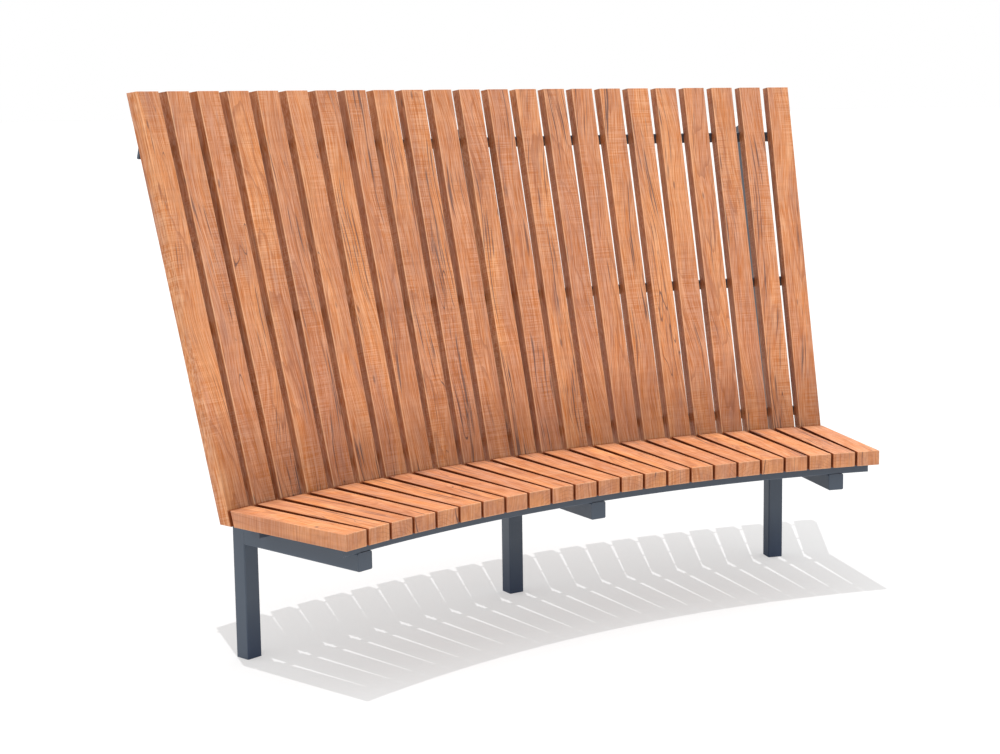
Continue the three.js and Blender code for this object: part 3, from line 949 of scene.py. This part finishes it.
faces = 0
for row, radius in SEAT_RAIL_RADII.items():
    faces += screws(f"seat_{row}", radius, RAIL_TOP - SEAT_RAIL_SIZE, math.pi,
                    SEAT_RAIL_ENDS[0], LOW_HEAD_DEPTH, LOW_WASHER_DEPTH, coat)
bar_back = BACK_RAIL_DEPTH + BACK_RAIL_THICKNESS
for level, up in BACK_RAIL_UPS.items():
    faces += screws(f"back_{level}", *behind_backrest(up, bar_back), -math.pi / 2 - LEAN_ANGLE,
                    BACK_RAIL_ENDS[level])
screw_count = (len(SEAT_RAIL_RADII) + len(BACK_RAIL_UPS)) * BOARD_COUNT
print("screws:", screw_count, "with", faces // screw_count, "faces each")

# %% [markdown]
# Where steel meets steel there is a weld. A plain tube round the joint would look like a
# wire, so the tree walks round a rounded rectangle, lets a slow noise swell and shrink
# the bead, and sweeps a small circle along it. The same tree serves the arm on its leg,
# the mitre above it, and each rail where it lies on an arm or a post.

# %% Geometry Nodes tree for a weld bead
BEAD_INPUTS = {
    "Float": ["Width", "Depth", "Corner", "Bead", "Step", "Unevenness", "Lean", "Radius",
              "Height", "Turn", "Centre Y", "Seed"],
    "Material": ["Material"],
}
BEAD_CORNER_STEPS, BEAD_SIDES, LUMP_SCALE = 4, 8, 260.0
bead_tree, given, output = new_tree("weld_bead", BEAD_INPUTS, SHAPE)
t = bead_tree
run = rounded_outline(t, given["Width"], given["Depth"], given["Corner"], BEAD_CORNER_STEPS)
run = put(t, "GeometryNodeResampleCurve", {"Curve": run, "Length": given["Step"]},
          mode="LENGTH").outputs[0]
lump = put(t, "ShaderNodeTexNoise", {"Vector": put(t, "GeometryNodeInputPosition").outputs[0],
                                     "W": given["Seed"], "Scale": LUMP_SCALE},
           noise_dimensions="4D").outputs[0]
swell = times_plus(t, minus(t, lump, EVEN), given["Unevenness"], 1.0)
ring = put(t, "GeometryNodeCurvePrimitiveCircle", {"Resolution": BEAD_SIDES,
                                                   "Radius": 1.0}).outputs[0]
bead = put(t, "GeometryNodeCurveToMesh", {"Curve": run, "Profile Curve": ring,
                                          "Scale": times(t, swell, given["Bead"])}).outputs[0]
finished(t, placed(t, bead, given["Lean"], given["Radius"], given["Height"], given["Turn"],
                   given["Centre Y"]), given["Material"], output)
print("weld bead tree:", len(t.nodes), "nodes")

# %% [markdown]
# Each of the three supports has seven beads: one where the arm meets the leg, a thin
# one on the mitre, two under the seat rails and three behind the back rails. The joint
# of arm and leg is ground flush on the real bench, so its bead stays inside the arm's
# outline, and a very short bar fills the groove that the leg's round corners leave.

# %% Weld beads
BEAD, BEAD_STEP, BEAD_UNEVENNESS = 0.0016, 0.0018, 0.9
CONTACT = TUBE_SIZE - 2 * TUBE_CORNER
beads = []


def weld(side, width, depth, corner, lean, radius, height, size=BEAD):
    number = len(beads) + 1
    values = {"Width": width, "Depth": depth, "Corner": corner, "Bead": size,
              "Step": BEAD_STEP, "Unevenness": BEAD_UNEVENNESS, "Lean": lean,
              "Radius": radius, "Height": height, "Turn": -SIDES[side] * BOARD_ANGLE,
              "Centre Y": CENTRE_Y, "Seed": float(number), "Material": coat}
    piece = grow(f"weld_{side}_{number:02d}", bead_tree, values)
    beads.append(keep(smooth(piece), "frame"))


for side in SIDES:
    values = tube_values(side, leg_front, leg_front + TUBE_CORNER, arm_height)
    keep(smooth(grow(f"weld_{side}_fill", bar_tree, values)), "frame")
    weld(side, TUBE_SIZE - 2 * BEAD, TUBE_SIZE - 2 * BEAD, TUBE_CORNER - BEAD, math.pi / 2,
         leg_front - BEAD / 2, arm_height)
    weld(side, TUBE_SIZE, TUBE_SIZE / math.cos(LEAN_ANGLE / 2), TUBE_CORNER, -LEAN_ANGLE / 2,
         LEG_RADIUS, KINK_HEIGHT, size=BEAD / 2)
    for radius in SEAT_RAIL_RADII.values():
        weld(side, CONTACT, SEAT_RAIL_SIZE, RAIL_CORNER, 0.0, radius, ARM_TOP)
    for up in BACK_RAIL_UPS.values():
        weld(side, CONTACT, BACK_RAIL_HEIGHT, RAIL_CORNER, math.pi / 2 - LEAN_ANGLE,
             *behind_backrest(up, bar_back))
print("weld beads:", len(beads))

# %% [markdown]
# The stage is a pale floor that runs back to a pale sky of the same brightness, so the
# bench stands alone. Most of the light is even and comes from the sky, which the camera
# sees as plain white: it is brightest overhead and dimmer behind the bench than before
# it, which separates the faces of the tubes. A small hard sun almost straight above
# brightens the seat and draws the gaps between the boards on the floor.

# %% Stage and light
FLOOR_SIZE = 200.0
FLOOR_GREY, FLOOR_GLOW, FLOOR_ROUGHNESS = (0.38, 0.38, 0.38, 1), 0.43, 0.9
HORIZON_LIGHT, ZENITH_LIGHT, REAR_SHARE = 0.30, 1.95, 0.55
SUN_FROM, SUN_STRENGTH, SUN_WIDTH = (-0.15, -0.06, 1.0), 2.0, math.radians(0.25)

reach = FLOOR_SIZE / 2
floor_mesh = bpy.data.meshes.new("floor")
floor_mesh.from_pydata([(-reach, -reach, 0), (reach, -reach, 0), (reach, reach, 0),
                        (-reach, reach, 0)], [], [(0, 1, 2, 3)])
floor = add_object("floor", floor_mesh)
floor_paint, t, skin = new_material("pale_floor")
skin["Base Color"].default_value = FLOOR_GREY
skin["Emission Color"].default_value = WHITE
skin["Emission Strength"].default_value = FLOOR_GLOW
skin["Roughness"].default_value = FLOOR_ROUGHNESS
skin["Specular IOR Level"].default_value = 0.0
floor_mesh.materials.append(floor_paint)

world = bpy.data.worlds.new("studio")
bpy.context.scene.world = world
world.use_nodes = True
t = world.node_tree
heading = separate(t, put(t, "ShaderNodeTexCoord").outputs["Generated"])
overhead = fit(t, heading["Z"], 0.0, 1.0, HORIZON_LIGHT, ZENITH_LIGHT)
behind = fit(t, heading["Y"], 0.0, 1.0, 1.0, REAR_SHARE)
seen = put(t, "ShaderNodeLightPath").outputs["Is Camera Ray"]
sky = t.nodes["Background"].inputs
t.links.new(mix(t, seen, times(t, overhead, behind), 1.0), sky["Strength"])
sky["Color"].default_value = WHITE

sun = bpy.data.lights.new("overhead", "SUN")
sun.energy = SUN_STRENGTH
sun.angle = SUN_WIDTH
lamp = add_object("overhead", sun)
lamp.rotation_euler = (-Vector(SUN_FROM)).to_track_quat("-Z", "Y").to_euler()
print("stage and sun ready")

# %% [markdown]
# The camera stands to the left of the bench at standing height and looks slightly down.
# Its place and angles were solved from the edges of the bench in the photograph, and the
# view is shifted in its frame as a cropped picture's is. Turning the camera until the
# bench looked right would be quicker, but no edge would then fall on its pixel. The
# camera stands before the circle's centre, and its distance is counted from there.

# %% Camera
PIXELS_WIDE, PIXELS_HIGH = 1000, 754
FOCAL_PIXELS, CENTRE_ACROSS, CENTRE_DOWN = 1780.11, 587.99, 347.68
YAW, PITCH, ROLL = 0.58960, 0.14281, -0.00751
LEFT_OF_MIDDLE, BEFORE_CENTRE, EYE_HEIGHT = 2.84933, 1.27961, 1.56857
SENSOR_WIDTH = 36.0
ahead = Vector((math.sin(YAW) * math.cos(PITCH), math.cos(YAW) * math.cos(PITCH),
                -math.sin(PITCH)))
level = Vector((math.cos(YAW), -math.sin(YAW), 0.0))
above = level.cross(ahead)
across = level * math.cos(ROLL) + above * math.sin(ROLL)
upward = above * math.cos(ROLL) - level * math.sin(ROLL)
camera = add_object("camera", bpy.data.cameras.new("camera"))
camera.matrix_world = Matrix((across, upward, -ahead)).transposed().to_4x4()
camera.location = (-LEFT_OF_MIDDLE, CENTRE_Y - BEFORE_CENTRE, EYE_HEIGHT)
camera.data.sensor_width = SENSOR_WIDTH
camera.data.lens = FOCAL_PIXELS / PIXELS_WIDE * SENSOR_WIDTH
camera.data.shift_x = (PIXELS_WIDE / 2 - CENTRE_ACROSS) / PIXELS_WIDE
camera.data.shift_y = (CENTRE_DOWN - PIXELS_HIGH / 2) / PIXELS_WIDE
bpy.context.scene.camera = camera
bpy.context.scene.view_settings.view_transform = "Standard"
print("camera at", [round(c, 3) for c in camera.location])
